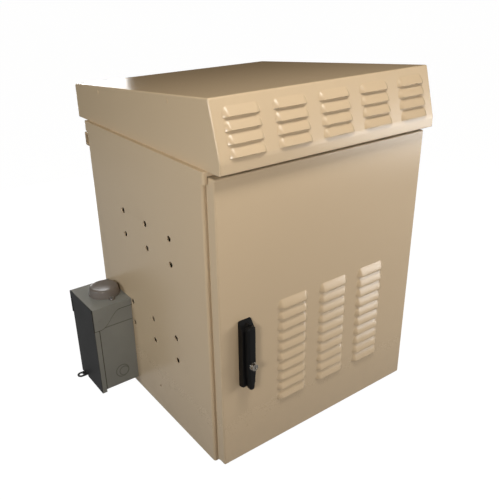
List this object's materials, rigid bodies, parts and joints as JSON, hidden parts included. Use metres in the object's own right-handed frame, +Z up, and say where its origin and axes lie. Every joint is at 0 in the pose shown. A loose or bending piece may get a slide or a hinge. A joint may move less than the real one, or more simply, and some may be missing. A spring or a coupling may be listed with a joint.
{
  "type": "roadside utility cabinet",
  "caption": "Free-standing sheet-metal utility cabinet with a louvred door, swing-handle latch, ventilated rain hood and a covered power outlet box on its left wall.",
  "frame": {"origin": "middle of the body's footprint on the ground", "axes": "+Z up, -Y towards the viewer in front of the door, +X to the right of that viewer"},
  "size_m": [0.7655, 0.675, 0.8647],
  "materials": {
    "cream_coat": "satin powder coat over aluminium sheet",
    "zinc_plate": "zinc-plated sheet",
    "steel": "plain bright steel",
    "red_insulator": "moulded insulator",
    "copper_bar": "bare copper bar",
    "black_rubber": "matt rubber",
    "filter_foam": "open-cell filter foam",
    "black_cast": "black satin coat on a zinc casting",
    "nickel": "bright nickel plate",
    "grey_paint": "grey satin paint on steel sheet",
    "hub_paint": "grey gloss paint on a casting",
    "black_plastic": "moulded plastic",
    "white_plastic": "moulded plastic"
  },
  "bodies": {
    "cabinet": {"body_shell": "cream_coat", "base_plate": "cream_coat", "door_sill": "cream_coat", "door_header": "cream_coat", "lid": "cream_coat", "vent_screen": "zinc_plate", "hood_shell": "cream_coat", "hood_braces": "zinc_plate", "hood_rivets": "cream_coat", "hood_screws": "steel", "rear_rail_upper": "cream_coat", "rear_rail_lower": "cream_coat", "rack_rail_left": "zinc_plate", "rack_rail_right": "zinc_plate", "shelf_brackets": "zinc_plate", "equipment_shelf": "cream_coat", "ground_standoffs": "red_insulator", "ground_bar": "copper_bar", "ground_screws": "steel", "cable_grommets": "black_rubber", "hinge_leaf_body": "steel", "hinge_rivets_body": "steel", "hinge_pin": "steel", "latch_keeper": "steel", "outlet_box": "grey_paint", "outlet_cap": "grey_paint", "cover_pivots": "grey_paint", "hub_cap": "hub_paint", "hub_screws": "steel", "padlock_tab": "grey_paint", "dead_front": "grey_paint", "receptacle": "black_plastic", "breaker": "black_plastic", "conduit_nipple": "zinc_plate", "nipple_locknut": "zinc_plate", "box_screws": "steel"},
    "door": {"door_panel": "cream_coat", "hinge_leaf_door": "steel", "hinge_rivets_door": "cream_coat", "door_gasket": "black_rubber", "filter_frame": "zinc_plate", "air_filter": "filter_foam", "handle_housing": "black_cast", "housing_screws": "steel", "handle_nut": "steel"},
    "spindle": {"handle_spindle": "steel", "lever_pin": "steel", "latch_cam": "steel", "cam_screw": "steel"},
    "lever": {"handle_lever": "black_cast", "lock_barrel": "nickel"},
    "lock": {"lock_plug": "nickel"},
    "toggle": {"breaker_toggle": "white_plastic"},
    "cover": {"outlet_cover": "grey_paint"}
  },
  "joints": [
    {"name": "door_swing", "type": "hinge", "parent": "cabinet", "child": "door", "pos_m": [0.3048, -0.2772, 0.3605], "axis": [0, 0, 1], "range_deg": [0, 105]},
    {"name": "handle_turn", "type": "hinge", "parent": "door", "child": "spindle", "pos_m": [-0.241, -0.3041, 0.373], "axis": [0, -1, 0], "range_deg": [0, 90]},
    {"name": "handle_lift", "type": "hinge", "parent": "spindle", "child": "lever", "pos_m": [-0.241, -0.32775, 0.373], "axis": [-1, 0, 0], "range_deg": [0, 40]},
    {"name": "lock_turn", "type": "hinge", "parent": "lever", "child": "lock", "pos_m": [-0.241, -0.321, 0.281], "axis": [0, -1, 0], "range_deg": [0, 90]},
    {"name": "cover_lift", "type": "hinge", "parent": "cabinet", "child": "cover", "pos_m": [-0.4046, 0.1824, 0.24], "axis": [0, 1, 0], "range_deg": [0, 80]},
    {"name": "breaker_switch", "type": "hinge", "parent": "cabinet", "child": "toggle", "pos_m": [-0.3916, 0.1824, 0.188], "axis": [0, -1, 0], "range_deg": [0, 40]}
  ]
}
